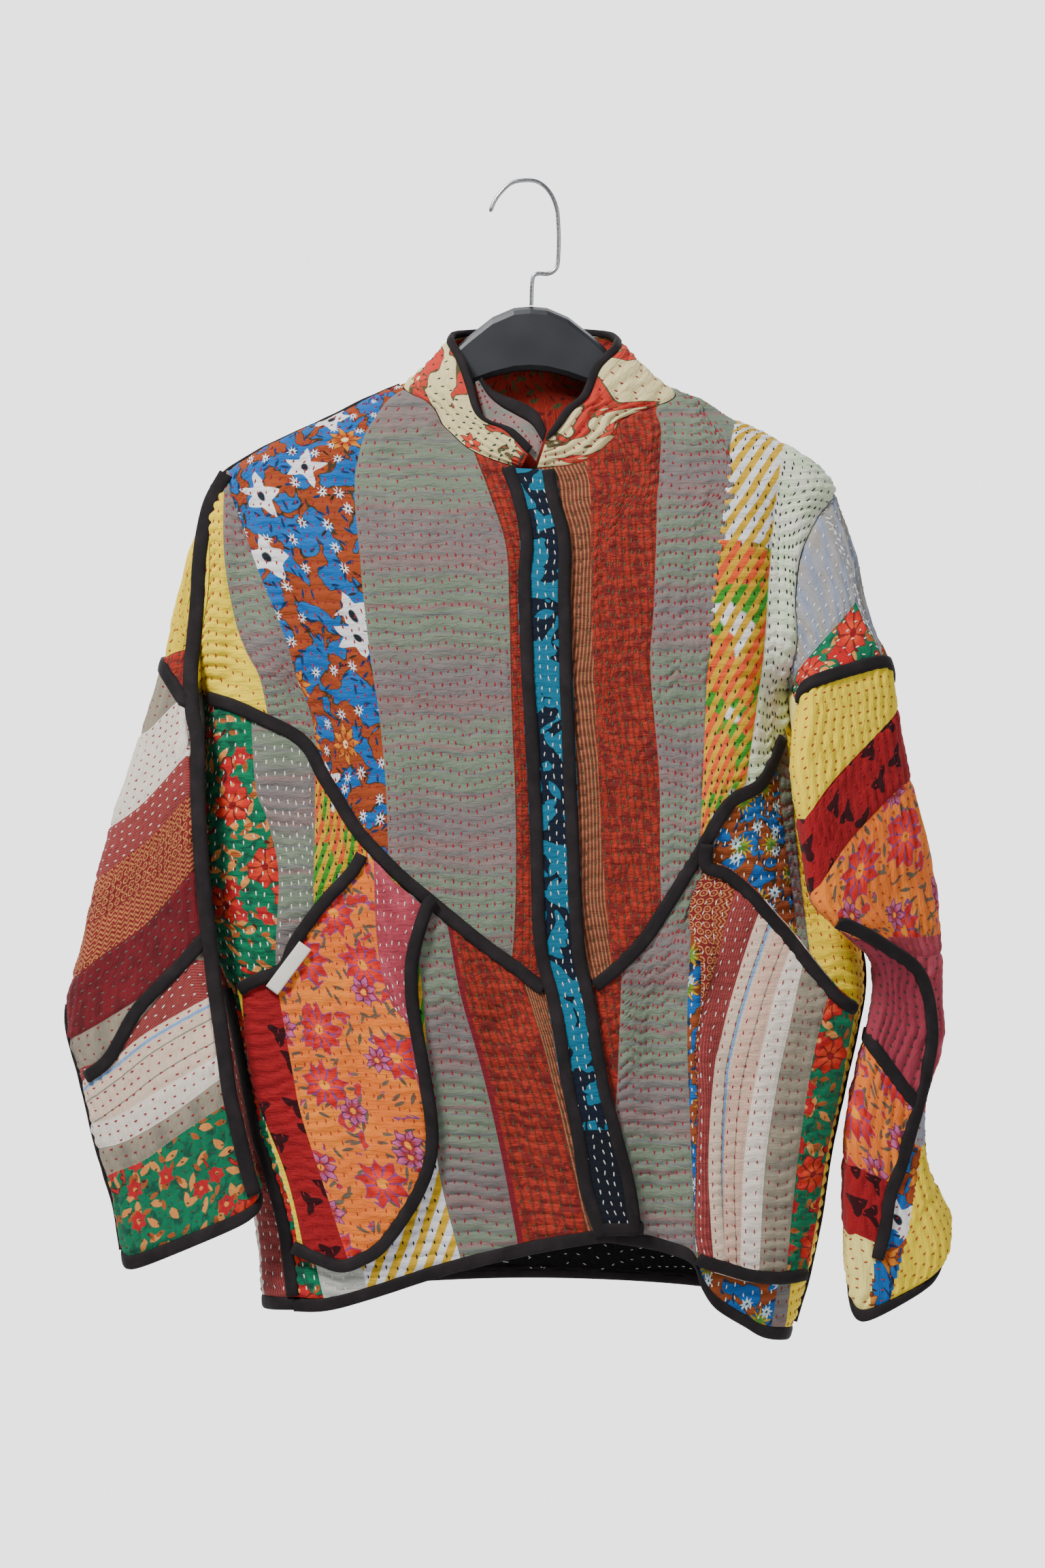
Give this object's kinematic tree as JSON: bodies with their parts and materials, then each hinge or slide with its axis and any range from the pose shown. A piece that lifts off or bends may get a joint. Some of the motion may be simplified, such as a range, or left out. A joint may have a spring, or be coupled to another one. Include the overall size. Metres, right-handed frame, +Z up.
{
  "type": "quilted patchwork jacket on a hanger",
  "caption": "Open cotton jacket pieced from printed strips, quilted with running stitches and bound in black, on a moulded hanger with a wire hook.",
  "frame": {"origin": "inside of the hook's crest, where the rail or peg carries the hanger", "axes": "+Z up along the hanging jacket, the jacket's front faces -Y, +X towards the wearer's left"},
  "size_m": [0.583, 0.1123, 0.767],
  "materials": {
    "grey_patchwork": "matt quilted cotton",
    "yellow_patchwork": "matt quilted cotton",
    "red_patchwork": "matt quilted cotton",
    "orange_patchwork": "matt quilted cotton",
    "cream_patchwork": "matt quilted cotton",
    "teal_band": "matt printed cotton",
    "bias_binding": "matt black cotton bias tape",
    "woven_label": "matt woven tape",
    "hanger": "satin moulded plastic",
    "hook_wire": "brushed steel wire"
  },
  "bodies": {
    "root": {"back_panel": "grey_patchwork", "yoke_front_right": "grey_patchwork", "yoke_front_left": "grey_patchwork", "lower_front_right": "grey_patchwork", "lower_front_left": "grey_patchwork", "sleeve_cap_right": "yellow_patchwork", "sleeve_cap_left": "grey_patchwork", "sleeve_right": "red_patchwork", "sleeve_left": "orange_patchwork", "pocket_right": "orange_patchwork", "pocket_left": "red_patchwork", "collar": "cream_patchwork", "placket_band": "teal_band", "collar_binding": "bias_binding", "placket_tape_outer": "bias_binding", "placket_tape_edge": "bias_binding", "yoke_binding_right": "bias_binding", "yoke_binding_left": "bias_binding", "overarm_binding_right": "bias_binding", "armhole_binding_right": "bias_binding", "armhole_binding_left": "bias_binding", "sleeve_binding_right": "bias_binding", "sleeve_binding_left": "bias_binding", "pocket_opening_binding_right": "bias_binding", "pocket_opening_binding_left": "bias_binding", "pocket_edge_binding_right": "bias_binding", "pocket_edge_binding_left": "bias_binding", "side_binding_right": "bias_binding", "side_binding_left": "bias_binding", "cuff_binding_right": "bias_binding", "cuff_binding_left": "bias_binding", "hem_binding_front_right": "bias_binding", "hem_binding_front_left": "bias_binding", "hem_binding_back": "bias_binding", "pocket_label": "woven_label", "hanger_plate": "hanger", "hanger_hook": "hook_wire"}
  },
  "joints": []
}
